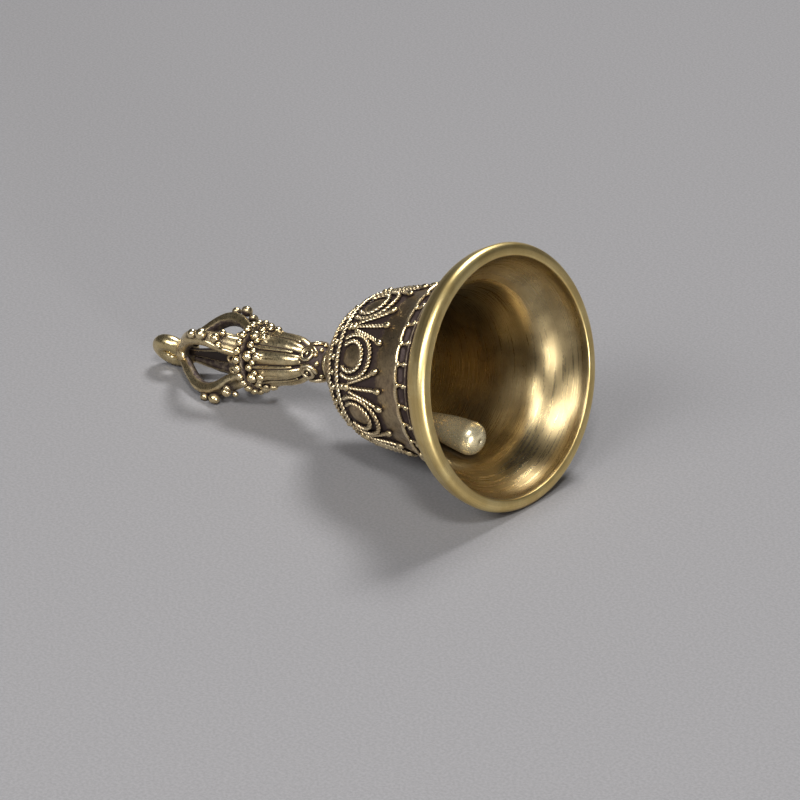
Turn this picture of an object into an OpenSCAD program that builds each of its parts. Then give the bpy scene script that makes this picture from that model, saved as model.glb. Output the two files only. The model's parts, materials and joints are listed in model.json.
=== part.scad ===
// Small brass puja bell with a vajra handle, lying on its side.
// Every piece is drawn upright first: z = 0 is the plane of the mouth and +z runs up the handle.
// lay_down() then tips the whole bell over, so that the lip and two prong beads stand on z = 0.

/* [Bell] */
// Outer radius of the lip
lip_r = 13; // [12:0.1:14]
// Radius of the rounded outer edge of the lip
lip_round = 0.65; // [0.5:0.05:0.8]
// Inner radius of the mouth
mouth_r = 11.75; // [11.6:0.05:11.9]
// Thickness of the bell wall
wall = 1.0; // [0.9:0.05:1.1]
// Height of the flat inside top of the bell
ceiling_z = 21.4; // [21.3:0.05:21.5]

/* [Ornament] */
// Number of petals around the shoulder
petals = 8; // [6:1:8]
// Turn of the first petal around the bell
petal_turn = 28.8; // [0:0.1:45]
// Radius of the soldered wires
wire_r = 0.24; // [0.2:0.01:0.26]
// Height of the rope ring nearer the handle
upper_ring_z = 17.9; // [17.6:0.1:18.2]
// Height of the rope ring nearer the mouth
lower_ring_z = 16.0; // [15.8:0.1:16.2]
// Number of granules between the rope rings
crown_granule_count = 29; // [20:1:32]
// Height of the upper wire of the ladder band
band_top_z = 6.4; // [6.3:0.1:6.6]
// Height of the lower wire of the ladder band
band_bottom_z = 4.7; // [4.6:0.1:4.8]
// Number of rungs in the ladder band
rung_count = 30; // [24:1:34]
// Turn of the first rung around the bell
rung_turn = 7; // [0:0.5:12]

/* [Handle] */
// Thickness of a prong towards the axis
prong_thick = 1.1; // [0.9:0.05:1.2]
// Width of a prong across
prong_wide = 1.5; // [1.2:0.05:1.5]
// Height of the middle prong bead, which stands on the floor
foot_bead_z = 37.5; // [37.3:0.1:37.7]
// Distance of the middle prong bead from the axis
foot_bead_off = 4.92; // [4.86:0.02:5]
// Radius of the middle prong bead
foot_bead_r = 0.61; // [0.55:0.01:0.65]
// Number of beads around the pearl collar
pearl_count = 24; // [18:1:26]
// Outer radius of the suspension loop
loop_r = 2.25; // [2.1:0.05:2.25]
// Radius of the loop's own bar
loop_bar_r = 0.85; // [0.84:0.01:0.87]
// Radius of the drilled eye through the loop
eye_r = 0.65; // [0.6:0.01:0.7]
// Turn of the loop around the handle
loop_turn = -35; // [-45:1:-35]

/* [Clapper] */
// Height of the staple bar that the clapper hangs from
staple_z = 19.3; // [19.2:0.05:19.4]
// Lean of the link away from the bell's axis, as it lies
link_lean = 51.8; // [50:0.1:52]
// Distance between the two bars that the link joins
link_length = 5.0; // [4.9:0.1:5.1]
// Lean of the tongue away from the bell's axis, as it lies
tongue_lean = 13.6; // [13:0.1:13.7]
// Distance from the link to the centre of the tongue's round end
tongue_length = 10.5; // [10.3:0.1:10.6]
// Radius of the tongue's round end
tongue_r = 1.75; // [1.6:0.05:1.75]
// Roll of the whole clapper around the bell's axis
clapper_roll = 7; // [0:0.5:8]

/* [Hidden] */
$fn = 64;

// Outside of the bell above the lip, as height and radius, from mouth to crown.
OUTLINE = [[0.65, 13], [2.2, 12.45], [3.4, 11.15], [4.7, 9.9], [6.4, 9.25], [8.5, 8.55],
    [11, 8.05], [14, 7.65], [16.4, 6.95], [19.4, 5.05], [21.3, 3.45], [22.6, 1.9]];
// Centre line of a prong, as height and distance from the axis.
PRONG_LINE = [[34.2, 2.2], [35.4, 2.75], [36.7, 3.4], [38, 3.88], [39.4, 3.9],
    [40.7, 3.35], [42, 2.35], [43.4, 1.1]];

// Four prongs, two of them on the floor side of the handle.
prongs = 4;
prong_turn = 45;
crown_z = 22.6;
ceiling_r = 2.2;
// The tang is a rod through the crown that ends in the neck knob.
tang_r = 0.9;
tang_top_z = 24.6;
tang_head = 0.15;
washer_z = ceiling_z - 0.5;
washer_r = 2.1;
collar_h = 1.2;
collar_top_r = 1.2;

// How deep wires and granules are bedded in what they are soldered to.
wire_bed = 0.05;
bead_bed = 0.12;
granule_r = 0.3;
bar_lift = 0.12;
bead_lift = 0.2;
rung_r = 0.17;
// Distance of a band granule from the wire next to it.
band_granule_gap = 0.3;

// Three rays spread from the root between each two petals; the middle one is the longest.
fan_turn = petal_turn + 180 / petals;
fan_root_z = 14.3;
fan_tip_z = 10.2;
fan_middle_drop = 0.3;
fan_root_spread = 3;
fan_spread = 12.6;
fan_wire_r = 0.2;
fan_bead_r = 0.36;
CORNER_Z = [fan_root_z + 0.15, fan_root_z + 0.75];

knob_z = 25.3;
knob_r = 1.85;
scroll_count = 6;
scroll_turn = 15;
scroll_mid_r = 0.72;
scroll_bar_r = 0.23;
scroll_dot_r = 0.2;
scroll_off = knob_r + 0.02;

calyx_z = 26.4;
calyx_petals = 8;
calyx_turn = 180 / calyx_petals;
petal_off = 1.2;
petal_tilt = 6.5;
// Half outline of a calyx petal, as distance from its own axis and height.
CALYX_PETAL = [[0, 0], [0.4, 0.1], [0.72, 0.6], [0.95, 1.6], [1, 2.8], [0.95, 4.6],
    [0.8, 5.8], [0.4, 6.4], [0, 6.5]];
// Petal tip granules, as distance from the axis, depth below the collar and radius.
TIP_BEADS = [[2.95, 0.75, 0.55], [2.85, 1.85, 0.45]];

collar_z = 33;
collar_thick = 0.8;
collar_r = 3.3;
pearl_off = 3.42;
pearl_r = 0.42;
hub_z = collar_z + collar_thick;
HUB = [[0, 0], [2.9, 0], [2.95, 0.25], [2.6, 0.6], [1.9, 1], [1, 1.2], [0, 1.2]];
// The two smaller beads of a prong: distance from the axis, height from the middle bead, radius.
SIDE_BEADS = [[4.12, -1.3, 0.52], [4.8, 1.4, 0.5]];
spike_z = collar_z + 2;
SPIKE = [[0, 0], [0.75, 0], [0.6, 0.6], [0.95, 2], [0.85, 3.6], [0.45, 6], [0.4, 8.1], [0, 8.1]];
apex_z = collar_z + 10.1;
APEX = [[0, 0], [1.1, 0], [1.45, 0.35], [1.4, 0.8], [1, 1.25], [0, 1.35]];

// Clapper: rings and bars of bent wire that turn in each other with a small gap.
hinge_gap = 0.06;
ring_mid_r = 1.0;
ring_bar_r = 0.3;
staple_bar_r = 0.35;
staple_half_w = 1.3;
staple_sink = 0.3;
wire_bend_r = 0.7;
eye_hang = ring_mid_r - 2 * ring_bar_r - hinge_gap;
tongue_start = eye_hang + ring_mid_r;
tongue_tip = tongue_length + 1.25;
tongue_round = 1.3;
// Side of the tongue, as radius and distance from the link.
TONGUE = [[0, tongue_start], [0.45, tongue_start], [0.6, tongue_start + 1], [0.9, 4.5],
    [1.45, 7.5], [1.55, 8.5]];

// The bell's own lean: the lip edge and the middle prong beads touch the floor together.
stance_run = foot_bead_z - lip_round;
stance_rise = lip_r - lip_round - foot_bead_off * cos(prong_turn);
lean = atan2(stance_rise, stance_run)
    + asin((lip_round - foot_bead_r) / norm([stance_run, stance_rise]));
mouth_z = lip_round * sin(lean) + (lip_r - lip_round) * cos(lean) + lip_round;
loop_z = 45.8;
// Half way between the loop's end and the lowest edge of the mouth lies x = 0.
flat_lip_r = lip_r - lip_round;
mouth_x = (loop_z * cos(lean) + loop_r - flat_lip_r * sin(lean)) / 2;

// Slope of a line of [height, radius] points at point i.
function slope_at(line, i) =
    let(a = max(i - 1, 0), b = min(i + 1, len(line) - 1))
    (line[b][1] - line[a][1]) / (line[b][0] - line[a][0]);

// Index of the stretch of the line that holds height z.
function stretch(line, z, i = 0) =
    (i >= len(line) - 2 || z <= line[i + 1][0]) ? i : stretch(line, z, i + 1);

// Smooth radius of the line at height z (cubic between neighbouring points).
function smooth_r(line, z) =
    let(i = stretch(line, z),
        h = line[i + 1][0] - line[i][0],
        u = (z - line[i][0]) / h,
        a = slope_at(line, i) * h,
        b = slope_at(line, i + 1) * h)
    line[i][1] * (2 * pow(u, 3) - 3 * pow(u, 2) + 1) + a * (pow(u, 3) - 2 * pow(u, 2) + u)
        + line[i + 1][1] * (3 * pow(u, 2) - 2 * pow(u, 3)) + b * (pow(u, 3) - pow(u, 2));

// The line as [radius, height] points at even heights.
function smooth_line(line, steps) =
    let(lo = line[0][0], hi = line[len(line) - 1][0])
    [for (i = [0:steps]) let(z = lo + (hi - lo) * i / steps) [smooth_r(line, z), z]];

// Point i of the line, moved square inwards by a depth.
function inset(line, i, depth) =
    let(slope = slope_at(line, i), k = depth / sqrt(1 + slope * slope))
    [line[i][0] + k * slope, line[i][1] - k];

// Inside of the bell from mouth to ceiling: a thicker lip, then an even wall.
INLINE = concat([[0, mouth_r], [1.2, mouth_r - 0.3]],
    [for (i = [2:len(OUTLINE) - 2]) inset(OUTLINE, i, wall)]);

// A point on the bell's outside, lifted square off the surface.
function on_bell(z, turn, lift = 0) =
    let(slope = (smooth_r(OUTLINE, z + 0.05) - smooth_r(OUTLINE, z - 0.05)) / 0.1,
        k = lift / sqrt(1 + slope * slope),
        r = smooth_r(OUTLINE, z) + k)
    [r * cos(turn), r * sin(turn), z - k * slope];

function unit(v) = v / norm(v);
function heading(path, i) =
    unit(path[min(i + 1, len(path) - 1)] - path[max(i - 1, 0)]);

// A tube of oval section along a path; half_a is measured along the direction out[i].
module swept_tube(path, half_a, half_b, out, sides = 8) {
    n = len(path);
    rings = [for (i = [0:n - 1])
        let(t = heading(path, i), a = unit(cross(t, cross(out[i], t))), b = cross(t, a))
        for (k = [0:sides - 1])
            path[i] + a * half_a * cos(360 * k / sides) + b * half_b * sin(360 * k / sides)];
    walls = [for (i = [0:n - 2], k = [0:sides - 1])
        let(m = (k + 1) % sides)
        [i * sides + k, i * sides + m, (i + 1) * sides + m, (i + 1) * sides + k]];
    ends = [[for (k = [sides - 1:-1:0]) k], [for (k = [0:sides - 1]) (n - 1) * sides + k]];
    polyhedron(rings, concat(walls, ends), convexity = 6);
}

// A straight round bar between two points.
module bar(a, b, r) {
    d = b - a;
    translate(a)
        rotate([0, acos(d[2] / norm(d)), atan2(d[1], d[0])])
            cylinder(r = r, h = norm(d), $fn = 24);
}

module torus(mid_r, bar_r) {
    rotate_extrude($fn = 96)
        translate([mid_r, 0])
            circle(r = bar_r, $fn = 24);
}

// Tips the upright bell over on to the floor.
module lay_down() {
    translate([mouth_x, 0, mouth_z])
        rotate([0, -(90 + lean), 0])
            children();
}

module around(count, first = 0) {
    for (i = [0:count - 1])
        rotate([0, 0, first + 360 * i / count])
            children();
}

// The hole that the tang fills, through every piece it holds together.
module tang_hole() {
    translate([0, 0, washer_z - 1])
        cylinder(r = tang_r, h = tang_top_z - washer_z + 1);
}

module bell_shell() {
    lip = [for (a = [0:15:90])
        [lip_r - lip_round + lip_round * sin(a), lip_round - lip_round * cos(a)]];
    outside = smooth_line(OUTLINE, 44);
    inside = smooth_line(INLINE, 40);
    rise = [for (i = [len(inside) - 1:-1:0]) inside[i]];
    color("darkgoldenrod")
        lay_down()
            difference() {
                rotate_extrude($fn = 128)
                    polygon(concat(lip, [for (i = [1:len(outside) - 1]) outside[i]],
                        [[0, crown_z], [0, ceiling_z], [ceiling_r, ceiling_z]], rise));
                tang_hole();
            }
}

module inner_washer() {
    color("goldenrod")
        lay_down()
            difference() {
                translate([0, 0, washer_z])
                    cylinder(r = washer_r, h = ceiling_z - washer_z);
                tang_hole();
            }
}

module handle_tang() {
    color("goldenrod")
        lay_down()
            translate([0, 0, washer_z - tang_head])
                cylinder(r = tang_r, h = tang_top_z - washer_z + tang_head);
}

module crown_collar() {
    color("darkgoldenrod")
        lay_down()
            difference() {
                translate([0, 0, crown_z])
                    rotate_extrude()
                        polygon([[0, 0], [1.75, 0], [1.9, 0.25], [1.75, 0.55], [1.35, 0.75],
                            [collar_top_r, collar_h], [0, collar_h]]);
                tang_hole();
            }
}

// A wire ring lying round the bell at height z.
module bell_ring(z) {
    seat = on_bell(z, 0, wire_r - wire_bed);
    translate([0, 0, seat[2]])
        torus(seat[0], wire_r);
}

module upper_rope_ring() {
    color("gold")
        lay_down()
            bell_ring(upper_ring_z);
}

module lower_rope_ring() {
    color("gold")
        lay_down()
            bell_ring(lower_ring_z);
}

module crown_granules() {
    color("gold")
        lay_down()
            for (i = [0:crown_granule_count - 1])
                translate(on_bell((upper_ring_z + lower_ring_z) / 2,
                        360 * i / crown_granule_count, granule_r - bead_bed))
                    sphere(r = granule_r, $fn = 24);
}

// Turn that carries a point sideways round the bell by a given arc length.
function arc_turn(sideways, z) = sideways / smooth_r(OUTLINE, z) * 180 / PI;

// One horseshoe wire: its bow points to the mouth and its ends meet the lower rope ring.
module petal_wires(mid_z, half_long, half_wide, open_end) {
    steps = 16;
    for (n = [0:petals - 1]) {
        turn = petal_turn + 360 * n / petals;
        path = [for (i = [0:steps])
            let(a = -open_end + 2 * open_end * i / steps,
                z = mid_z - half_long * cos(a))
            on_bell(z, turn + arc_turn(half_wide * sin(a), z), wire_r - wire_bed)];
        swept_tube(path, wire_r, wire_r, [for (p = path) [p[0], p[1], 0]]);
    }
}

module outer_petal_wires() {
    color("gold")
        lay_down()
            petal_wires(mid_z = 13.65, half_long = 2.55, half_wide = 2.1, open_end = 130);
}

module inner_petal_wires() {
    color("gold")
        lay_down()
            petal_wires(mid_z = 13.9, half_long = 1.6, half_wide = 1.45, open_end = 140);
}

module petal_corner_granules() {
    color("gold")
        lay_down()
            for (n = [0:petals - 1], z = CORNER_Z)
                translate(on_bell(z, fan_turn + 360 * n / petals, bead_lift))
                    sphere(r = fan_bead_r, $fn = 24);
}

// Height of a ray's tip; side is 0 for the middle ray.
function fan_end_z(side) = fan_tip_z - fan_middle_drop * (1 - abs(side));

module fan_wires() {
    color("gold")
        lay_down()
            for (n = [0:petals - 1], side = [-1:1]) {
                turn = fan_turn + 360 * n / petals;
                bar(on_bell(fan_root_z, turn + fan_root_spread * side, bar_lift),
                    on_bell(fan_end_z(side), turn + fan_spread * side, bar_lift),
                    fan_wire_r);
            }
}

module fan_tip_beads() {
    color("gold")
        lay_down()
            for (n = [0:petals - 1], side = [-1:1])
                translate(on_bell(fan_end_z(side),
                        fan_turn + 360 * n / petals + fan_spread * side, bead_lift))
                    sphere(r = fan_bead_r, $fn = 24);
}

module band_upper_wire() {
    color("gold")
        lay_down()
            bell_ring(band_top_z);
}

module band_lower_wire() {
    color("gold")
        lay_down()
            bell_ring(band_bottom_z);
}

module band_rungs() {
    color("gold")
        lay_down()
            for (i = [0:rung_count - 1])
                bar(on_bell(band_bottom_z, rung_turn + 360 * i / rung_count, bar_lift),
                    on_bell(band_top_z, rung_turn + 360 * i / rung_count, bar_lift), rung_r);
}

module band_granules() {
    color("gold")
        lay_down()
            for (i = [0:rung_count - 1],
                    z = [band_bottom_z + band_granule_gap, band_top_z - band_granule_gap])
                translate(on_bell(z, rung_turn + 360 * i / rung_count, bead_lift))
                    sphere(r = granule_r, $fn = 24);
}

module neck_knob() {
    color("darkgoldenrod")
        lay_down()
            difference() {
                union() {
                    translate([0, 0, knob_z])
                        sphere(r = knob_r);
                    translate([0, 0, crown_z + collar_h])
                        cylinder(r = collar_top_r, h = knob_z - crown_z - collar_h);
                }
                tang_hole();
            }
}

module neck_scroll_rings() {
    color("gold")
        lay_down()
            around(scroll_count, scroll_turn)
                translate([scroll_off, 0, knob_z])
                    rotate([0, 90, 0])
                        torus(scroll_mid_r, scroll_bar_r);
}

module neck_scroll_granules() {
    color("gold")
        lay_down()
            around(scroll_count, scroll_turn)
                translate([scroll_off, 0, knob_z])
                    sphere(r = scroll_dot_r, $fn = 24);
}

// A tapered core with eight bulging petals leaning out from it.
module lotus_calyx() {
    color("darkgoldenrod")
        lay_down() {
            translate([0, 0, calyx_z])
                cylinder(r1 = 1.5, r2 = 2.6, h = collar_z - calyx_z);
            around(calyx_petals, calyx_turn)
                translate([petal_off, 0, calyx_z])
                    rotate([0, petal_tilt, 0])
                        rotate_extrude($fn = 32)
                            polygon(CALYX_PETAL);
        }
}

module lotus_tip_beads() {
    color("gold")
        lay_down()
            around(calyx_petals, calyx_turn)
                for (b = TIP_BEADS)
                    translate([b[0], 0, collar_z - b[1]])
                        sphere(r = b[2], $fn = 24);
}

module pearl_collar() {
    color("darkgoldenrod")
        lay_down()
            translate([0, 0, collar_z])
                cylinder(r = collar_r, h = collar_thick);
}

module pearl_collar_beads() {
    color("gold")
        lay_down()
            around(pearl_count)
                translate([pearl_off, 0, collar_z + collar_thick / 2])
                    sphere(r = pearl_r, $fn = 24);
}

module vajra_hub() {
    color("darkgoldenrod")
        lay_down()
            translate([0, 0, hub_z])
                rotate_extrude()
                    polygon(HUB);
}

// One prong, bowed out from the hub and back in to the apex.
module prong(number) {
    steps = 18;
    lo = PRONG_LINE[0][0];
    hi = PRONG_LINE[len(PRONG_LINE) - 1][0];
    path = [for (i = [0:steps])
        let(z = lo + (hi - lo) * i / steps)
        [smooth_r(PRONG_LINE, z), 0, z]];
    color("goldenrod")
        lay_down()
            rotate([0, 0, prong_turn + 360 * (number - 1) / prongs])
                swept_tube(path, prong_thick / 2, prong_wide / 2, [for (p = path) [1, 0, 0]], 12);
}

module vajra_prong_1() {
    prong(1);
}

module vajra_prong_2() {
    prong(2);
}

module vajra_prong_3() {
    prong(3);
}

module vajra_prong_4() {
    prong(4);
}

// Three granules stand on the shoulder of each prong, and the middle one reaches furthest out.
module prong_beads() {
    color("gold")
        lay_down()
            around(prongs, prong_turn) {
                translate([foot_bead_off, 0, foot_bead_z])
                    sphere(r = foot_bead_r, $fn = 32);
                for (b = SIDE_BEADS)
                    translate([b[0], 0, foot_bead_z + b[1]])
                        sphere(r = b[2], $fn = 32);
            }
}

module centre_spike() {
    color("sienna")
        lay_down()
            translate([0, 0, spike_z])
                rotate_extrude($fn = 48)
                    polygon(SPIKE);
}

module apex_cap() {
    color("goldenrod")
        lay_down()
            translate([0, 0, apex_z])
                rotate_extrude($fn = 48)
                    polygon(APEX);
}

module suspension_loop() {
    color("goldenrod")
        lay_down()
            translate([0, 0, loop_z])
                rotate([0, 0, loop_turn])
                    rotate([90, 0, 0])
                        difference() {
                            torus(loop_r - loop_bar_r, loop_bar_r);
                            cylinder(r = eye_r, h = 2 * loop_r, center = true);
                        }
}

// A wire bent into a U: a straight bar along y at the origin, two bends and two legs going up.
module wire_u(half_w, bar_r, leg_top) {
    straight = half_w - wire_bend_r;
    rotate([90, 0, 0])
        cylinder(r = bar_r, h = 2 * straight, center = true, $fn = 32);
    for (side = [0, 180])
        rotate([0, 0, side]) {
            translate([0, straight, wire_bend_r])
                rotate([0, 90, 0])
                    rotate_extrude(angle = 90, $fn = 64)
                        translate([wire_bend_r, 0])
                            circle(r = bar_r, $fn = 32);
            translate([0, half_w, wire_bend_r])
                cylinder(r = bar_r, h = leg_top - wire_bend_r, $fn = 32);
        }
}

// The staple, whose legs are held in the washer.
module clapper_staple() {
    color("goldenrod")
        lay_down()
            rotate([0, 0, clapper_roll])
                translate([0, 0, staple_z])
                    wire_u(staple_half_w, staple_bar_r, washer_z + staple_sink - staple_z);
}

// Upright frame at the staple bar, with +z along the link and away from the bar.
module at_link() {
    rotate([0, 0, clapper_roll])
        translate([0, 0, staple_z])
            rotate([0, -(180 - link_lean), 0])
                children();
}

// Frame at the link's far bar, with +z along the tongue.
module at_tongue() {
    far = [-link_length * sin(link_lean), 0, staple_z - link_length * cos(link_lean)];
    rotate([0, 0, clapper_roll])
        translate(far)
            rotate([0, -(180 - tongue_lean), 0])
                children();
}

// A ring round the staple bar, a short shank, and a stirrup whose bar carries the eye.
module clapper_link() {
    hang = ring_mid_r - ring_bar_r - staple_bar_r - hinge_gap;
    color("goldenrod")
        lay_down()
            at_link() {
                translate([0, 0, hang])
                    rotate([90, 0, 0])
                        torus(ring_mid_r, ring_bar_r);
                translate([0, 0, link_length])
                    rotate([180, 0, 0])
                        wire_u(ring_mid_r, ring_bar_r, ring_mid_r);
                translate([0, 0, link_length - ring_mid_r])
                    rotate([0, 90, 0])
                        rotate([0, 0, -90])
                            rotate_extrude(angle = 180, $fn = 64)
                                translate([ring_mid_r, 0])
                                    circle(r = ring_bar_r, $fn = 32);
                translate([0, 0, hang + ring_mid_r])
                    cylinder(r = ring_bar_r, h = link_length - 2 * ring_mid_r - hang - ring_mid_r,
                        $fn = 32);
            }
}

module clapper_eye() {
    color("goldenrod")
        lay_down()
            at_tongue()
                translate([0, 0, eye_hang])
                    rotate([90, 0, 0])
                        torus(ring_mid_r, ring_bar_r);
}

module clapper_tongue() {
    rounding = [for (a = [0:15:90])
        [tongue_r - tongue_round + tongue_round * cos(a),
            tongue_tip - tongue_round + tongue_round * sin(a)]];
    color("gold")
        lay_down()
            at_tongue()
                rotate_extrude()
                    polygon(concat(TONGUE, rounding, [[0, tongue_tip]]));
}

bell_shell();
inner_washer();
handle_tang();
crown_collar();
upper_rope_ring();
lower_rope_ring();
crown_granules();
outer_petal_wires();
inner_petal_wires();
petal_corner_granules();
fan_wires();
fan_tip_beads();
band_upper_wire();
band_lower_wire();
band_rungs();
band_granules();
neck_knob();
neck_scroll_rings();
neck_scroll_granules();
lotus_calyx();
lotus_tip_beads();
pearl_collar();
pearl_collar_beads();
vajra_hub();
vajra_prong_1();
vajra_prong_2();
vajra_prong_3();
vajra_prong_4();
prong_beads();
centre_spike();
apex_cap();
suspension_loop();
clapper_staple();
clapper_link();
clapper_eye();
clapper_tongue();
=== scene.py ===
import json
import math

import bmesh
import bpy
from mathutils import Matrix, Vector, noise


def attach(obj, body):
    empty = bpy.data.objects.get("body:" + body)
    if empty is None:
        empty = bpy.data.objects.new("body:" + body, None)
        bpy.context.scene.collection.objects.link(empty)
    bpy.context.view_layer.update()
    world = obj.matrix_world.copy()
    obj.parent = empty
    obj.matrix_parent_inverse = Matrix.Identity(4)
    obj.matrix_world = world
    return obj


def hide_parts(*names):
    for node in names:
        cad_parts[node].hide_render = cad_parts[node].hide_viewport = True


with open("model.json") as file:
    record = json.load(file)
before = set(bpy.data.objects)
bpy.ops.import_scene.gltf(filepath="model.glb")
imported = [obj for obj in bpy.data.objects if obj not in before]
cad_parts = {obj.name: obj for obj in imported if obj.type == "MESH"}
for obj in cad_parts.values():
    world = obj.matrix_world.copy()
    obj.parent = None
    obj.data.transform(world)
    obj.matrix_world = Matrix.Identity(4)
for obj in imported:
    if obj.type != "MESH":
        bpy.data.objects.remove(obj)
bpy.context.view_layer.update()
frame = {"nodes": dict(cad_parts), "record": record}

# The bell is shaped upright in millimetres: z = 0 is the plane of the mouth, +z runs up the
# handle and +x is the side that lies uppermost. BELL carries that frame into the row frame.
MM = 0.001
mounts = {m["name"]: m for m in frame["record"]["mounts"]}
joints = {j["name"]: j for j in frame["record"]["behaviour"]["joints"]}

# Height of the staple bar, which the link turns on.
STAPLE_Z = 19.3
up_handle = -Vector(mounts["mouth_rim"]["axis"])
across = Vector((0, 1, 0))
upper_side = across.cross(up_handle)
mouth_centre = Vector(joints["link_swing"]["pos_m"]) - up_handle * STAPLE_Z * MM
TURN = Matrix((upper_side, across, up_handle)).transposed()
BELL = Matrix.Translation(mouth_centre) @ TURN.to_4x4() @ Matrix.Scale(MM, 4)

# Bell
LIP_R = 12.99
LIP_ROUND = 0.65
MOUTH_R = 11.75
WALL = 1.0
CEILING_Z = 21.4
CROWN_Z = 22.6
TANG_R = 0.9
# Outside of the bell above the lip, as height and radius, from mouth to crown.
OUTLINE = [(0.65, 12.99), (2.2, 12.45), (3.4, 11.15), (4.7, 9.9), (6.4, 9.25), (8.5, 8.55),
           (11, 8.05), (14, 7.65), (16.4, 6.95), (19.4, 5.05), (21.3, 3.45), (22.6, 1.9)]

# Ornament
PETALS = 8
PETAL_TURN = 28.8
PETAL_MID_Z = 13.9
# A petal wire's bow: middle height, half length, half width and the turn of its open ends.
OUTER_BOW = (13.65, 2.55, 2.1, 130)
INNER_BOW = (PETAL_MID_Z, 1.6, 1.45, 140)
FAN_TURN = PETAL_TURN + 180 / PETALS
FAN_ROOT_Z = 14.3
FAN_TIP_Z = 10.2
FAN_MIDDLE_DROP = 0.3
FAN_ROOT_SPREAD = 3
FAN_SPREAD = 12.6
FAN_WIRE_R = 0.22
FAN_BEAD_R = 0.33
# How high the petals' fields swell, how deep the ground round them and the band's fields are
# sunk, and how uneven the casting is.
DOME_RISE = 0.16
GROUND_SINK = 0.05
BAND_SINK = 0.3
CAST_LUMP = 0.018
WIRE_R = 0.25
WIRE_LIFT = 0.2
BEAD_LIFT = 0.2
# One turn of the twist, the rings that a turn is drawn with, and a strand's share of the wire.
TWIST_PITCH = 0.95
TWIST_STEPS = 11
STRAND = 0.62
UPPER_RING_Z = 17.9
LOWER_RING_Z = 16.0
CROWN_GRANULES = 29
CROWN_GRANULE_R = 0.31
BAND_TOP_Z = 6.4
BAND_BOTTOM_Z = 4.7
RUNGS = 30
RUNG_TURN = 7
BAND_GRANULE_R = 0.27

# Handle
CROWN_COLLAR_H = 1.2
KNOB_Z = 25.3
KNOB_R = 1.85
SCROLLS = 6
SCROLL_TURN = 15
CALYX_Z = 26.4
CALYX_PETALS = 8
CALYX_TURN = 180 / CALYX_PETALS
CALYX_LINE = [(26.4, 1.6), (26.9, 2.0), (27.8, 2.35), (29, 2.55), (30.4, 2.68), (31.6, 2.8),
              (32.4, 2.85), (33, 2.5)]
COLLAR_Z = 33.0
COLLAR_THICK = 0.8
PEARLS = 24
PEARL_OFF = 3.42
PEARL_R = 0.44
# Lathed handle pieces have a bore this wide along their axis, hidden by their neighbours.
CORE_R = 0.3
HUB_Z = COLLAR_Z + COLLAR_THICK
HUB_LOBES = 8
PRONGS = 4
PRONG_TURN = 45
# Centre line of a prong, as height and distance from the axis.
PRONG_LINE = [(34.2, 2.2), (35.4, 2.75), (36.7, 3.4), (38, 3.88), (39.4, 3.9),
              (40.7, 3.35), (42, 2.35), (43.4, 1.1)]
# Distance from the axis, height and radius of the beads on a prong.
PRONG_BEADS = [(4.92, 37.5, 0.61), (4.12, 36.2, 0.52), (4.8, 38.9, 0.5)]
SPIKE_Z = COLLAR_Z + 2
SPIKE_H = 8.1
APEX_Z = COLLAR_Z + 10.1
LOOP_Z = 45.8
LOOP_R = 2.25
LOOP_BAR_R = 0.85
EYE_R = 0.65
LOOP_TURN = -35

# Clapper, measured from the far bar of the link along the tongue
TONGUE_LEAN = 13.6
CLAPPER_ROLL = 7
TONGUE_START = 1.34
TONGUE_TIP = 11.68
TONGUE_R = 1.7
TONGUE_ROUND = 1.3
# The tongue is lathed round a pinhole of this radius.
TONGUE_CORE_R = 0.05
# Side of the tongue, as distance from the link and radius, up to where its end is rounded.
TONGUE_LINE = [(TONGUE_START, 0.45), (2.34, 0.6), (4.5, 0.92), (7.5, 1.45), (8.5, 1.57),
               (TONGUE_TIP - TONGUE_ROUND, TONGUE_R)]


def slope_at(line, i):
    a, b = line[max(i - 1, 0)], line[min(i + 1, len(line) - 1)]
    return (b[1] - a[1]) / (b[0] - a[0])


def smooth_r(line, z):
    """Radius of a line of (height, radius) points at height z, the same curve as the CAD's."""
    i = 0
    while i < len(line) - 2 and z > line[i + 1][0]:
        i += 1
    (z0, r0), (z1, r1) = line[i], line[i + 1]
    h = z1 - z0
    u = (z - z0) / h
    a, b = slope_at(line, i) * h, slope_at(line, i + 1) * h
    return (r0 * (2 * u**3 - 3 * u**2 + 1) + a * (u**3 - 2 * u**2 + u)
            + r1 * (3 * u**2 - 2 * u**3) + b * (u**3 - u**2))


def inset(line, i, depth):
    slope = slope_at(line, i)
    k = depth / math.sqrt(1 + slope * slope)
    return (line[i][0] + k * slope, line[i][1] - k)


INLINE = [(0, MOUTH_R), (1.2, MOUTH_R - 0.3)] + [
    inset(OUTLINE, i, WALL) for i in range(2, len(OUTLINE) - 1)]


def smoothstep(lo, hi, x):
    u = min(max((x - lo) / (hi - lo), 0.0), 1.0)
    return u * u * (3 - 2 * u)


def around(turn, r, z):
    a = math.radians(turn)
    return Vector((r * math.cos(a), r * math.sin(a), z))


def out_of_bell(z, turn):
    """The way straight out of the bell's outside at that height and turn."""
    slope = (smooth_r(OUTLINE, z + 0.05) - smooth_r(OUTLINE, z - 0.05)) / 0.1
    return around(turn, 1, -slope).normalized()


def on_bell(z, turn, lift=0.0):
    return around(turn, smooth_r(OUTLINE, z), z) + out_of_bell(z, turn) * lift


def arc_turn(sideways, z):
    """Turn that carries a point round the bell by an arc of that length."""
    return math.degrees(sideways / smooth_r(OUTLINE, z))


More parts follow.
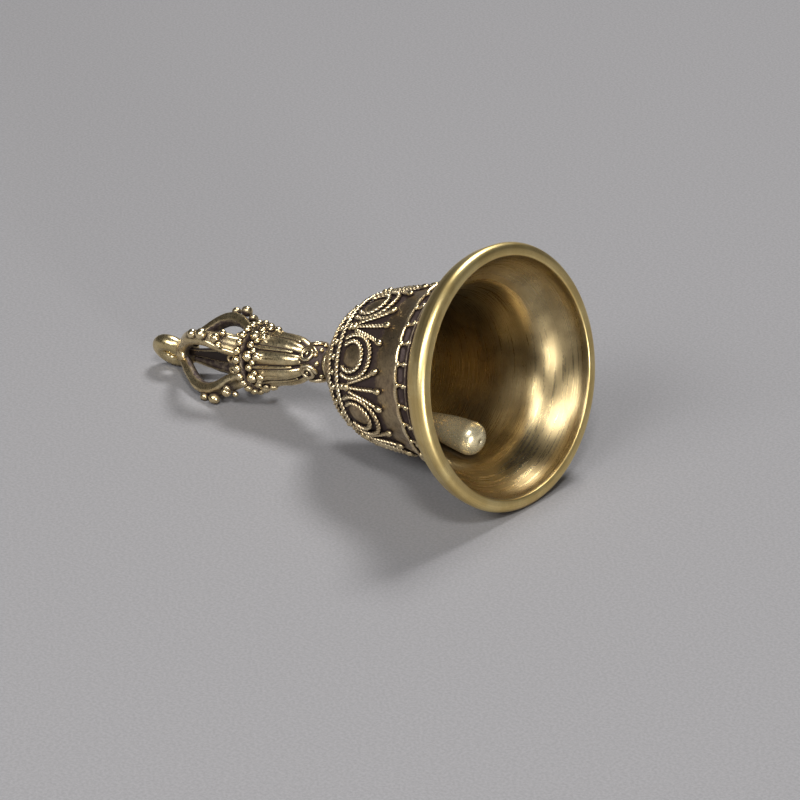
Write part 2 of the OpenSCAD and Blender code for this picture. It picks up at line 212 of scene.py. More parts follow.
class Shape:
    """Points and faces in the upright frame, with a wear value per point (1 polished, 0 dark;
    on the centre spike's arrises 1 is a painted highlight) and a group per face, which is its
    place in the piece's list of metals."""

    def __init__(self):
        self.points, self.faces, self.wear, self.groups = [], [], [], []

    def add(self, points, faces, wear):
        start = len(self.points)
        self.points += points
        self.faces += [[start + i for i in face] for face in faces]
        self.groups += [0] * len(faces)
        self.wear += wear

    def add_rings(self, rings, wear, closed_path):
        """Joins rings of points; an open path is closed by a fan at each end."""
        sides = len(rings[0])
        count = len(rings)
        points = [p for ring in rings for p in ring]
        worn = [w for ring in wear for w in ring]
        faces = []
        for i in range(count if closed_path else count - 1):
            j = (i + 1) % count
            for k in range(sides):
                m = (k + 1) % sides
                faces.append([i * sides + k, i * sides + m, j * sides + m, j * sides + k])
        if not closed_path:
            for ring, order in ((0, -1), (count - 1, 1)):
                centre = sum(rings[ring], Vector()) / sides
                points.append(centre)
                worn.append(sum(wear[ring]) / sides)
                hub = len(points) - 1
                for k in range(sides):
                    m = (k + 1) % sides
                    edge = [ring * sides + k, ring * sides + m]
                    faces.append((edge if order > 0 else edge[::-1]) + [hub])
        self.add(points, faces, worn)


def frames(path, outs, closed):
    """The outward and sideways directions at each point of a path."""
    count = len(path)
    result = []
    for i in range(count):
        if closed:
            ahead, back = path[(i + 1) % count], path[i - 1]
        else:
            ahead, back = path[min(i + 1, count - 1)], path[max(i - 1, 0)]
        t = (ahead - back).normalized()
        a = (outs[i] - t * t.dot(outs[i])).normalized()
        result.append((a, t.cross(a)))
    return result


def round_ends(path, outs, radii, steps=3):
    """Adds shrinking rings past both ends, so that a wire ends in a dome."""
    first = (path[0] - path[1]).normalized()
    last = (path[-1] - path[-2]).normalized()
    head, tail = [], []
    for s in range(steps, 0, -1):
        a = math.radians(85 * s / steps)
        head.append((path[0] + first * radii[0] * math.sin(a), outs[0], radii[0] * math.cos(a)))
        tail.append((path[-1] + last * radii[-1] * math.sin(a), outs[-1],
                     radii[-1] * math.cos(a)))
    whole = head + list(zip(path, outs, radii)) + tail[::-1]
    return [w[0] for w in whole], [w[1] for w in whole], [w[2] for w in whole]


def sweep(shape, path, outs, radii, closed=False, sides=10):
    """A plain round wire along a path, rubbed bright on its outward side."""
    if not closed:
        path, outs, radii = round_ends(path, outs, radii)
    turns = [2 * math.pi * k / sides for k in range(sides)]
    rings, wear = [], []
    for p, (a, b), r in zip(path, frames(path, outs, closed), radii):
        rings.append([p + a * r * math.cos(u) + b * r * math.sin(u) for u in turns])
        wear.append([0.5 + 0.5 * math.cos(u) for u in turns])
    shape.add_rings(rings, wear, closed)


def measure(place, samples=160):
    """Length of the line that place(u) follows as u goes from 0 to 1."""
    points = [place(i / samples)[0] for i in range(samples + 1)]
    return sum((points[i + 1] - points[i]).length for i in range(samples))


def twist(shape, place, radius, closed=False, taper=0.0, sides=7):
    """Two round strands twisted together along place(u), which gives a point and its outside."""
    length = measure(place)
    turns = round(length / TWIST_PITCH) if closed else length / TWIST_PITCH
    count = int(length / (TWIST_PITCH / TWIST_STEPS))
    spots = [place(i / count) for i in range(count if closed else count + 1)]
    path, outs = [s[0] for s in spots], [s[1] for s in spots]
    strand_r, offset = radius * STRAND, radius * (1 - STRAND)
    for strand in (0, math.pi):
        rings, wear = [], []
        for i, (p, (a, b)) in enumerate(zip(path, frames(path, outs, closed))):
            size = 1 - taper * i / count
            if not closed:
                from_end = min(i, len(path) - 1 - i)
                size *= min(1.0, 0.35 + 0.35 * from_end)
            phi = strand + 2 * math.pi * turns * i / count
            ring, worn = [], []
            for k in range(sides):
                u = 2 * math.pi * k / sides
                x = (offset * math.cos(phi) + strand_r * math.cos(u)) * size
                y = (offset * math.sin(phi) + strand_r * math.sin(u)) * size
                ring.append(p + a * x + b * y)
                worn.append(0.5 + 0.5 * x / radius)
            rings.append(ring)
            wear.append(worn)
        shape.add_rings(rings, wear, closed)


def unit_ball(level=3):
    bm = bmesh.new()
    bmesh.ops.create_icosphere(bm, subdivisions=level, radius=1)
    points = [v.co.copy() for v in bm.verts]
    faces = [[v.index for v in f.verts] for f in bm.faces]
    bm.free()
    return points, faces


BALL = unit_ball()


def bead(shape, centre, radius, out, along=None, stretch=1.0, lump=0.05):
    """A slightly uneven granule, squashed a little on to what it sits on."""
    points, faces = BALL
    placed, wear = [], []
    for p in points:
        q = p * (1 + lump * noise.noise(p * 1.6 + centre * 3.1))
        q = q - out * q.dot(out) * 0.08
        if along is not None:
            q = q + along * q.dot(along) * (stretch - 1)
        placed.append(centre + q * radius)
        wear.append(0.5 + 0.5 * p.dot(out))
    shape.add(placed, faces, wear)


def lathe(shape, profile, segments, form=None, closed=False, wear=None, group=None):
    """Turns a profile of (radius, height) points; form and wear take (i, radius, height, turn)."""
    rows, worn = [], []
    for i, (r, z) in enumerate(profile):
        row, row_wear = [], []
        for k in range(segments):
            turn = 360 * k / segments
            rr, zz = form(i, r, z, turn) if form else (r, z)
            row.append(around(turn, rr, zz))
            row_wear.append(wear(i, r, z, turn) if wear else 1.0)
        rows.append(row)
        worn.append(row_wear)
    before = len(shape.faces)
    shape.add_rings(rows, worn, closed)
    if group:
        for f in range(before, len(shape.faces)):
            row = (f - before) // segments
            shape.groups[f] = group(row)


# ---------------------------------------------------------------- materials


class Nodes:
    """Short calls for building one material's node tree."""

    def __init__(self, name):
        self.material = bpy.data.materials.new(name)
        self.material.use_nodes = True
        self.tree = self.material.node_tree
        self.shader = self.tree.nodes["Principled BSDF"]

    def put(self, kind, values=(), links=(), **settings):
        n = self.tree.nodes.new(kind)
        for key, value in settings.items():
            setattr(n, key, value)
        for socket, value in dict(values).items():
            n.inputs[socket].default_value = value
        for socket, source in dict(links).items():
            self.tree.links.new(source, n.inputs[socket])
        return n

    def math(self, operation, a, b=None, clamp=False):
        n = self.put("ShaderNodeMath", operation=operation, use_clamp=clamp)
        for i, value in enumerate((a, b)):
            if isinstance(value, (int, float)):
                n.inputs[i].default_value = value
            elif value is not None:
                self.tree.links.new(value, n.inputs[i])
        return n.outputs[0]

    def ramp(self, source, lo, hi, out_lo=0.0, out_hi=1.0):
        n = self.put("ShaderNodeMapRange", {"From Min": lo, "From Max": hi, "To Min": out_lo,
                                            "To Max": out_hi},
                     {"Value": source}, interpolation_type="SMOOTHSTEP")
        return n.outputs["Result"]

    def mix(self, factor, a, b):
        n = self.put("ShaderNodeMix", data_type="RGBA")
        for socket, value in ((n.inputs["Factor"], factor), (n.inputs[6], a), (n.inputs[7], b)):
            if isinstance(value, (int, float)):
                socket.default_value = value
            elif isinstance(value, tuple):
                socket.default_value = (*value, 1)
            else:
                self.tree.links.new(value, socket)
        return n.outputs[2]

    def noise(self, where, scale, detail=3.0, rough=0.55):
        n = self.put("ShaderNodeTexNoise", {"Scale": scale, "Detail": detail,
                                            "Roughness": rough}, {"Vector": where})
        return n.outputs["Fac"]

    def feed(self, socket, source):
        self.tree.links.new(source, self.shader.inputs[socket])


def upright_mm(n):
    """Coordinates of the upright frame, in millimetres, for a piece at rest."""
    at = n.put("ShaderNodeTexCoord").outputs["Object"]
    m = n.put("ShaderNodeMapping", links={"Vector": at}, vector_type="TEXTURE")
    m.inputs["Location"].default_value = mouth_centre
    m.inputs["Rotation"].default_value = TURN.to_euler()
    m.inputs["Scale"].default_value = (MM, MM, MM)
    return m.outputs["Vector"]


def round_the_axis(n, where):
    """(height, distance from the axis, turn) of a point of the upright frame."""
    parts = n.put("ShaderNodeSeparateXYZ", links={"Vector": where}).outputs
    turn = n.math("ARCTAN2", parts["Y"], parts["X"])
    squares = n.math("ADD", n.math("MULTIPLY", parts["X"], parts["X"]),
                     n.math("MULTIPLY", parts["Y"], parts["Y"]))
    return parts["Z"], n.math("SQRT", squares), turn


def brass(name, bright, tint, dark, rough, worn=True, crevice=0.0006, grime=0.5, bump=0.12,
          dark_rough=0.62, metallic=1.0):
    """Aged brass: bright crests, a second tint in soft clouds, dark patina in hollows."""
    n = Nodes(name)
    where = upright_mm(n)
    clouds = n.noise(where, 0.35, 4)
    grain = n.noise(where, 7.0, 5, 0.65)
    specks = n.noise(where, 2.2, 6, 0.7)
    shut = n.put("ShaderNodeAmbientOcclusion", {"Distance": crevice}, samples=6).outputs["AO"]
    clear = n.ramp(shut, 0.35, 0.9)
    if worn:
        wear = n.put("ShaderNodeAttribute", attribute_name="wear").outputs["Fac"]
        clear = n.math("MULTIPLY", clear, n.ramp(wear, 0.12, 0.72))
    loss = n.ramp(specks, 0.42, 0.68, 0.0, grime)
    clean = n.math("SUBTRACT", clear, loss, clamp=True)
    metal = n.mix(n.ramp(clouds, 0.35, 0.65), bright, tint)
    n.feed("Base Color", n.mix(clean, dark, metal))
    n.feed("Metallic", n.ramp(clean, 0.0, 0.5, 0.55 * metallic, metallic))
    polish = n.math("ADD", n.ramp(grain, 0.3, 0.7, rough * 0.75, rough * 1.25),
                    n.math("MULTIPLY", n.math("SUBTRACT", 1.0, clean), dark_rough - rough))
    n.feed("Roughness", polish)
    height = n.math("ADD", grain, n.math("MULTIPLY", specks, 1.5))
    relief = n.put("ShaderNodeBump", {"Strength": bump, "Distance": 0.00006},
                   {"Height": height})
    n.feed("Normal", relief.outputs["Normal"])
    return n.material


def turned_brass(name, bright, tint, dark, rough, ring_scale, ring_depth, stain, speckle):
    """Brass with the fine rings of turning round the bell's axis.

    ring_scale is about how many rings a millimetre holds, stain how much the specks darken the
    metal, and speckle how high they stand against the rings."""
    n = Nodes(name)
    where = upright_mm(n)
    z, r, turn = round_the_axis(n, where)
    reach = n.math("ADD", z, n.math("MULTIPLY", r, 0.7))
    lines = n.put("ShaderNodeCombineXYZ", links={
        "X": n.math("MULTIPLY", reach, ring_scale), "Y": n.math("MULTIPLY", turn, 0.9)}).outputs[0]
    rings = n.noise(lines, 1.0, 5, 0.7)
    clouds = n.noise(where, 0.3, 4)
    specks = n.noise(where, 6.0, 6, 0.75)
    shut = n.put("ShaderNodeAmbientOcclusion", {"Distance": 0.0007}, samples=6).outputs["AO"]
    clean = n.math("SUBTRACT", n.ramp(shut, 0.3, 0.85), n.ramp(specks, 0.45, 0.72, 0.0, stain),
                   clamp=True)
    metal = n.mix(n.ramp(clouds, 0.38, 0.62), bright, tint)
    streaked = n.mix(n.ramp(rings, 0.35, 0.65, 0.0, 0.22), metal, dark)
    n.feed("Base Color", n.mix(clean, dark, streaked))
    n.feed("Metallic", n.ramp(clean, 0.0, 0.5, 0.6, 1.0))
    n.feed("Roughness", n.math("ADD", n.ramp(rings, 0.3, 0.7, rough * 0.75, rough * 1.3),
                               n.math("MULTIPLY", n.math("SUBTRACT", 1.0, clean), 0.3)))
    height = n.math("ADD", n.math("MULTIPLY", rings, 0.9), n.math("MULTIPLY", specks, speckle))
    relief = n.put("ShaderNodeBump", {"Strength": ring_depth, "Distance": 0.00005},
                   {"Height": height})
    n.feed("Normal", relief.outputs["Normal"])
    return n.material


PALE_GOLD = (0.88, 0.72, 0.43)
OLIVE_GOLD = (0.60, 0.48, 0.24)
WARM_GOLD = (0.68, 0.50, 0.27)
PATINA = (0.050, 0.032, 0.028)

shell_metal = brass("satin_bell_brass", (0.46, 0.35, 0.20), (0.38, 0.28, 0.17), PATINA, 0.34)
lip_metal = turned_brass("turned_lip_brass", (0.88, 0.70, 0.32), (0.76, 0.57, 0.23),
                         (0.26, 0.17, 0.07), 0.36, ring_scale=9.0, ring_depth=0.2,
                         stain=0.18, speckle=0.5)
inside_metal = turned_brass("brushed_inside_brass", (0.49, 0.38, 0.20), (0.34, 0.26, 0.135),
                            (0.13, 0.09, 0.045), 0.28, ring_scale=12.0, ring_depth=0.3,
                            stain=0.22, speckle=1.1)
rope_metal = brass("twisted_wire_brass", (0.95, 0.80, 0.52), (0.80, 0.62, 0.36), PATINA, 0.26,
                   grime=0.3)
granule_metal = brass("granule_brass", PALE_GOLD, (0.80, 0.64, 0.36), PATINA, 0.22, grime=0.25)
handle_metal = brass("handle_brass", (0.86, 0.71, 0.42), (0.66, 0.50, 0.26), PATINA, 0.26,
                     crevice=0.001, bump=0.08, grime=0.4)
loop_metal = brass("loop_brass", (0.84, 0.70, 0.42), OLIVE_GOLD, (0.14, 0.10, 0.06), 0.28,
                   worn=False, grime=0.15, bump=0.05)
# Brass of the centre spike: its near-black is dark patina and also painted shade for the dark
# middle of the handle, and its bright end, laid on the arrises, is a painted highlight line.
spike_patina_shade_and_highlight_metal = brass("spike_brass_patina_shade_and_highlight", PALE_GOLD, WARM_GOLD, (0.035, 0.024, 0.02), 0.25,
                    dark_rough=0.5)
wire_metal = brass("dull_wire_brass", (0.5, 0.39, 0.2), WARM_GOLD, (0.08, 0.055, 0.035), 0.36,
                   worn=False)
tongue_metal = brass("polished_tongue_brass", (1.0, 0.91, 0.64), (0.98, 0.84, 0.52),
                     (0.5, 0.36, 0.18), 0.27, worn=False, grime=0.1, bump=0.08, metallic=0.75)


# ---------------------------------------------------------------- pieces


def make(name, shape, metals, slot, body, *nodes):
    """Turns a shape into a piece on that body, in place of those CAD nodes."""
    mesh = bpy.data.meshes.new(name)
    mesh.from_pydata([BELL @ p for p in shape.points], [], shape.faces)
    wear = mesh.attributes.new("wear", "FLOAT", "POINT")
    wear.data.foreach_set("value", shape.wear)
    for metal in metals:
        mesh.materials.append(metal)
    mesh.polygons.foreach_set("material_index", shape.groups)
    mesh.polygons.foreach_set("use_smooth", [True] * len(mesh.polygons))
    bm = bmesh.new()
    bm.from_mesh(mesh)
    bmesh.ops.recalc_face_normals(bm, faces=bm.faces)
    bm.to_mesh(mesh)
    bm.free()
    piece = bpy.data.objects.new(name, mesh)
    bpy.context.scene.collection.objects.link(piece)
    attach(piece, body)
    if nodes:
        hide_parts(*nodes)


def off_petal(z, turn):
    """How far round the bell it is from the middle of the nearest petal, in millimetres."""
    step = 360 / PETALS
    near = PETAL_TURN + round((turn - PETAL_TURN) / step) * step
    return math.radians(turn - near) * smooth_r(OUTLINE, z)


def shell_relief(z, turn):
    """How far the bell's outside stands out or is sunk, in millimetres."""
    step = 360 / RUNGS
    to_rung = abs((turn - RUNG_TURN + step / 2) % step - step / 2)
    off_rung = math.radians(to_rung) * smooth_r(OUTLINE, z)
    in_band = smoothstep(BAND_BOTTOM_Z + 0.1, BAND_BOTTOM_Z + 0.4, z) * (
        1 - smoothstep(BAND_TOP_Z - 0.35, BAND_TOP_Z - 0.1, z))
    field = -BAND_SINK * in_band * smoothstep(0.12, 0.4, off_rung)
    oval = math.hypot(off_petal(z, turn) / 1.15, (z - PETAL_MID_Z) / 1.3)
    dome = DOME_RISE * max(0.0, 1 - oval * oval)
    ground = smoothstep(9.4, 10.4, z) * (1 - smoothstep(18.2, 18.8, z))
    ground *= GROUND_SINK * smoothstep(0.9, 1.2, oval)
    lump = CAST_LUMP * noise.noise(around(turn, smooth_r(OUTLINE, z), z) * 1.9)
    return field + dome - ground + lump


def shell_wear(z, turn):
    """Dark patina on the ground of the petals and in the band, and bright brass elsewhere."""
    oval = math.hypot(off_petal(z, turn) / 1.2, (z - PETAL_MID_Z) / 1.4)
    ground = smoothstep(9.3, 10.8, z) * (1 - smoothstep(18.0, 18.6, z)) * smoothstep(
        0.75, 1.1, oval)
    band = smoothstep(4.6, 4.9, z) * (1 - smoothstep(6.3, 6.6, z))
    return 1 - 0.85 * max(ground, band)


def spaced(lo, hi, step):
    """Even steps of about that size from lo up to, and not at, hi."""
    count = max(round((hi - lo) / step), 1)
    return [lo + (hi - lo) * i / count for i in range(count)]


def bell_shell():
    """One closed skin: lip, outside with its relief, crown, and the brushed inside."""
    lip = [(LIP_R - LIP_ROUND + LIP_ROUND * math.sin(a), LIP_ROUND - LIP_ROUND * math.cos(a))
           for a in (math.radians(d) for d in range(0, 90, 10))]
    heights = spaced(0.65, 4.4, 0.2) + spaced(4.4, 6.8, 0.1) + spaced(6.8, 9.4, 0.3) + spaced(
        9.4, 18.8, 0.14) + spaced(18.8, CROWN_Z, 0.3) + [CROWN_Z]
    outside = [(smooth_r(OUTLINE, z), z) for z in heights]
    top = [(1.4, CROWN_Z), (TANG_R, CROWN_Z), (TANG_R, CEILING_Z), (1.6, CEILING_Z)]
    inner_heights = [INLINE[-1][0] - z for z in spaced(0, INLINE[-1][0] - 0.12, 0.32)] + [0.12]
    inside = [(2.2, CEILING_Z)] + [(smooth_r(INLINE, z), z) for z in inner_heights]
    edge = [(MOUTH_R + 0.02, 0.03), (MOUTH_R + 0.12, 0.0)]
    profile = lip + outside + top + inside + edge
    # Rows of the profile where each stretch starts or ends.
    first_out = len(lip)
    last_out = first_out + len(outside) - 1
    flare_end = first_out + sum(z < 4.2 for z in heights)
    first_in = last_out + 3

    def form(i, r, z, turn):
        if not first_out < i < last_out:
            return r, z
        lift = shell_relief(z, turn)
        out = out_of_bell(z, 0)
        return r + out.x * lift, z + out.z * lift

    def wear(i, r, z, turn):
        return shell_wear(z, turn) if flare_end < i < last_out else 1.0

    def group(row):
        if row < flare_end or row >= len(profile) - 3:
            return 1
        return 2 if row >= first_in else 0

    shape = Shape()
    lathe(shape, profile, 360, form, True, wear, group)
    make("bell_shell_detailed", shape, (shell_metal, lip_metal, inside_metal), "bell_brass",
         "bell", "bell_shell")


def ring_place(z, lift=WIRE_LIFT):
    return lambda u: (on_bell(z, 360 * u, lift), out_of_bell(z, 360 * u))


def rope_rings():
    for name, z in (("upper_rope_ring", UPPER_RING_Z), ("lower_rope_ring", LOWER_RING_Z)):
        shape = Shape()
        twist(shape, ring_place(z), WIRE_R, closed=True)
        make(name + "_twisted", shape, (rope_metal,), "rope_wire", "bell", name)


def crown_granules():
    shape = Shape()
    z = (UPPER_RING_Z + LOWER_RING_Z) / 2
    for i in range(CROWN_GRANULES):
        turn = 360 * i / CROWN_GRANULES
        bead(shape, on_bell(z, turn, BEAD_LIFT), CROWN_GRANULE_R, out_of_bell(z, turn))
    make("crown_granules_cast", shape, (granule_metal,), "granules", "bell", "crown_granules")


def petal_place(number, mid_z, half_long, half_wide, open_end):
    def place(u):
        a = math.radians(open_end * (2 * u - 1))
        z = mid_z - half_long * math.cos(a)
        turn = PETAL_TURN + 360 * number / PETALS + arc_turn(half_wide * math.sin(a), z)
        return on_bell(z, turn, WIRE_LIFT), out_of_bell(z, turn)
    return place


def petal_wires():
    for name, bow in (("outer_petal_wires", OUTER_BOW), ("inner_petal_wires", INNER_BOW)):
        shape = Shape()
        for number in range(PETALS):
            twist(shape, petal_place(number, *bow), WIRE_R)
        make(name + "_twisted", shape, (rope_metal,), "rope_wire", "bell", name)


def ray_ends(number, side):
    """(root, tip) of a ray as (height, turn); side is 0 for the middle ray of a fan."""
    turn = FAN_TURN + 360 * number / PETALS
    tip_z = FAN_TIP_Z - FAN_MIDDLE_DROP * (1 - abs(side))
    return (FAN_ROOT_Z, turn + FAN_ROOT_SPREAD * side), (tip_z, turn + FAN_SPREAD * side)


def ray_place(number, side):
    (z0, t0), (z1, t1) = ray_ends(number, side)

    def place(u):
        bow = 1 - 0.25 * side * side * (1 - u)
        z, turn = z0 + (z1 - z0) * u, t0 + (t1 - t0) * u * bow
        return on_bell(z, turn, WIRE_LIFT * 0.8), out_of_bell(z, turn)
    return place


def fans():
    wires, tips, corners = Shape(), Shape(), Shape()
    for number in range(PETALS):
        for side in (-1, 0, 1):
            place = ray_place(number, side)
            twist(wires, place, FAN_WIRE_R, taper=-0.1)
            along = (place(1)[0] - place(0.9)[0]).normalized()
            _, tip = ray_ends(number, side)
            bead(tips, on_bell(*tip, BEAD_LIFT), FAN_BEAD_R, out_of_bell(*tip), along, 1.55)
        turn = FAN_TURN + 360 * number / PETALS
        for z, r in ((FAN_ROOT_Z + 0.15, 0.4), (FAN_ROOT_Z + 0.8, 0.36)):
            bead(corners, on_bell(z, turn, 0.22), r, out_of_bell(z, turn))
    make("fan_wires_twisted", wires, (rope_metal,), "rope_wire", "bell", "fan_wires")
    make("fan_tip_beads_long", tips, (granule_metal,), "granules", "bell", "fan_tip_beads")
    make("petal_corner_granules_cast", corners, (granule_metal,), "granules", "bell",
         "petal_corner_granules")


def ladder_band():
    """The scalloped upper wire, the plain lower wire, and rungs with a granule at each end."""
    upper, lower, rungs, grains = Shape(), Shape(), Shape(), Shape()
    per_rung = 12
    count = RUNGS * per_rung
    path, outs, radii = [], [], []
    for i in range(count):
        turn = RUNG_TURN + 360 * i / count
        bow = math.sin(math.pi * (i % per_rung) / per_rung)
        z = BAND_TOP_Z + 0.02 + 0.14 * bow
        path.append(on_bell(z, turn, 0.18))
        outs.append(out_of_bell(z, turn))
        radii.append(0.17 + 0.07 * bow)
    sweep(upper, path, outs, radii, closed=True)
    place = ring_place(BAND_BOTTOM_Z, 0.12)
    spots = [place(i / count) for i in range(count)]
    sweep(lower, [s[0] for s in spots], [s[1] for s in spots], [0.12] * count, closed=True)
    lower.wear = [0.35 * w for w in lower.wear]
    line = [BAND_BOTTOM_Z + (BAND_TOP_Z - BAND_BOTTOM_Z) * k / 8 for k in range(9)]
    for i in range(RUNGS):
        turn = RUNG_TURN + 360 * i / RUNGS
        sweep(rungs, [on_bell(z, turn, 0.1) for z in line],
              [out_of_bell(z, turn) for z in line],
              [0.13 + 0.05 * abs(k - 4) / 4 for k in range(9)])
        for z in (BAND_BOTTOM_Z + 0.3, BAND_TOP_Z - 0.25):
            bead(grains, on_bell(z, turn, BEAD_LIFT), BAND_GRANULE_R, out_of_bell(z, turn))
    make("band_upper_wire_scalloped", upper, (rope_metal,), "rope_wire", "bell",
         "band_upper_wire")
    make("band_lower_wire_round", lower, (rope_metal,), "rope_wire", "bell", "band_lower_wire")
    make("band_rungs_drawn", rungs, (rope_metal,), "rope_wire", "bell", "band_rungs")
    make("band_granules_cast", grains, (granule_metal,), "granules", "bell", "band_granules")


def crown_collar():
    profile = [(TANG_R, 0), (1.75, 0), (1.9, 0.1), (1.95, 0.27), (1.88, 0.45), (1.7, 0.58),
               (1.45, 0.68), (1.3, 0.82), (1.24, 1.0), (1.22, CROWN_COLLAR_H),
               (TANG_R, CROWN_COLLAR_H)]
    shape = Shape()
    lathe(shape, [(r, z + CROWN_Z) for r, z in profile], 64, closed=True)
    make("crown_collar_turned", shape, (handle_metal,), "handle_brass", "bell", "crown_collar")


def on_knob(sideways, rise, turn, lift):
    """A point on the neck knob, that far round it and up it from its middle."""
    v = rise / KNOB_R
    a = math.radians(turn) + sideways / KNOB_R
    out = Vector((math.cos(v) * math.cos(a), math.cos(v) * math.sin(a), math.sin(v)))
    return Vector((0, 0, KNOB_Z)) + out * (KNOB_R + lift), out


def neck_knob():
    ball = [(KNOB_R * math.cos(math.radians(a)), KNOB_Z + KNOB_R * math.sin(math.radians(a)))
            for a in range(-48, 61, 6)]
    foot = CROWN_Z + CROWN_COLLAR_H
    profile = [(TANG_R, foot), (1.2, foot)] + ball + [(CORE_R, KNOB_Z + 1.65)]
    knob = Shape()
    lathe(knob, profile, 96, closed=True, wear=lambda i, r, z, turn: 0.2)
    make("neck_knob_cast", knob, (handle_metal,), "handle_brass", "bell", "neck_knob")


def neck_scrolls():
    """Spirals of tapering wire round the knob, with a granule in each and two between them."""
    scrolls, grains = Shape(), Shape()
    steps = 44
    for i in range(SCROLLS):
        turn = SCROLL_TURN + 360 * i / SCROLLS
        path, outs, radii = [], [], []
        for k in range(steps + 1):
            a = math.radians(-90 + 520 * k / steps)
            r = 0.84 - 0.44 * k / steps
            p, out = on_knob(r * math.cos(a), r * 1.15 * math.sin(a), turn, 0.1)
            path.append(p)
            outs.append(out)
            radii.append(0.23 - 0.08 * k / steps)
        sweep(scrolls, path, outs, radii)
        for rise in (-1.2, 1.2):
            p, out = on_knob(KNOB_R * math.pi / SCROLLS, rise, turn, 0.02)
            bead(grains, p, 0.26, out)
        p, out = on_knob(0, 0, turn, 0.06)
        bead(grains, p, 0.19, out)
    make("neck_scrolls_curled", scrolls, (rope_metal,), "rope_wire", "bell",
         "neck_scroll_rings")
    make("neck_granules_cast", grains, (granule_metal,), "granules", "bell",
         "neck_scroll_granules")


def calyx_lobe(turn):
    """0 in the groove between two petals and 1 on a petal's crest."""
    return abs(math.cos(math.radians((turn - CALYX_TURN) * CALYX_PETALS / 2)))


def lotus_calyx():
    heights = spaced(CALYX_Z, COLLAR_Z, 0.11) + [COLLAR_Z]
    side = [(smooth_r(CALYX_LINE, z), z) for z in heights]
    profile = [(CORE_R, CALYX_Z)] + side + [(CORE_R, COLLAR_Z)]

    def form(i, r, z, turn):
        if r == CORE_R:
            return r, z
        lobe = calyx_lobe(turn)
        swell = 0.62 * (lobe ** 0.55 - 0.92)
        lip = 0.14 * math.exp(-((z - 30.9) / 0.3) ** 2) * smoothstep(0.5, 0.9, lobe)
        crease = 0.1 * math.exp(-((1 - lobe) / 0.012) ** 2) * smoothstep(28.6, 30, z)
        return r + swell + lip - crease + 0.03 * noise.noise(around(turn, r, z) * 1.5), z

    def wear(i, r, z, turn):
        return 0.05 + 0.95 * smoothstep(0.3, 0.72, calyx_lobe(turn))

    calyx = Shape()
    lathe(calyx, profile, 288, form, True, wear)
    make("lotus_calyx_chased", calyx, (handle_metal,), "handle_brass", "bell", "lotus_calyx")


def lotus_trim():
    """Clusters of beads on the petal tips, and a thin rib in each groove."""
    beads, ribs = Shape(), Shape()
    line = spaced(27.3, 32.0, 0.12)
    for i in range(CALYX_PETALS):
        turn = CALYX_TURN + 360 * i / CALYX_PETALS
        bead(beads, around(turn, 2.98, 32.25), 0.56, around(turn, 1, 0), lump=0.12)
        bead(beads, around(turn, 2.85, 31.15), 0.44, around(turn, 1, 0), lump=0.12)
        for side in (-1, 1):
            bead(beads, around(turn + 11 * side, 2.92, 31.65), 0.33, around(turn, 1, 0))
        groove = turn + 180 / CALYX_PETALS
        path = [around(groove, smooth_r(CALYX_LINE, z) - 0.2, z) for z in line]
        sweep(ribs, path, [around(groove, 1, 0)] * len(path),
              [0.12 + 0.12 * k / len(path) for k in range(len(path))])
        bead(beads, around(groove, 2.95, 32.2), 0.4, around(groove, 1, 0))
    make("lotus_tip_beads_cast", beads, (granule_metal,), "granules", "bell", "lotus_tip_beads")
    make("lotus_ribs", ribs, (handle_metal,), "handle_brass", "bell")


def pearl_collar():
    profile = [(CORE_R, 0), (2.9, 0), (3.25, 0.06), (3.3, 0.2), (3.15, 0.4), (3.3, 0.6),
               (3.25, 0.74), (2.9, COLLAR_THICK), (CORE_R, COLLAR_THICK)]
    disc = Shape()
    lathe(disc, [(r, z + COLLAR_Z) for r, z in profile], 96, closed=True,
          wear=lambda i, r, z, turn: 0.35)
    make("pearl_collar_turned", disc, (handle_metal,), "handle_brass", "bell", "pearl_collar")
    pearls = Shape()
    for i in range(PEARLS):
        turn = 360 * i / PEARLS
        bead(pearls, around(turn, PEARL_OFF, COLLAR_Z + COLLAR_THICK / 2), PEARL_R,
             around(turn, 1, 0))
    make("pearl_collar_beads_cast", pearls, (granule_metal,), "granules", "bell",
         "pearl_collar_beads")


def hub_lobe(turn):
    return abs(math.cos(math.radians(turn * HUB_LOBES / 2)))


def vajra_hub():
    profile = [(CORE_R, 0.0), (2.85, 0.0), (2.95, 0.15), (2.9, 0.35), (2.65, 0.6), (2.3, 0.82),
               (1.85, 1.0), (1.3, 1.12), (0.8, 1.2), (CORE_R, 1.2)]

    def form(i, r, z, turn):
        swell = 0.16 * (hub_lobe(turn) ** 0.5 - 0.8)
        return r + (swell if 0 < i < 6 else 0), z

    hub = Shape()
    lathe(hub, [(r, z + HUB_Z) for r, z in profile], 192, form, True,
          lambda i, r, z, turn: 0.15 + 0.6 * hub_lobe(turn))
    make("vajra_hub_petalled", hub, (handle_metal,), "handle_brass", "bell", "vajra_hub")


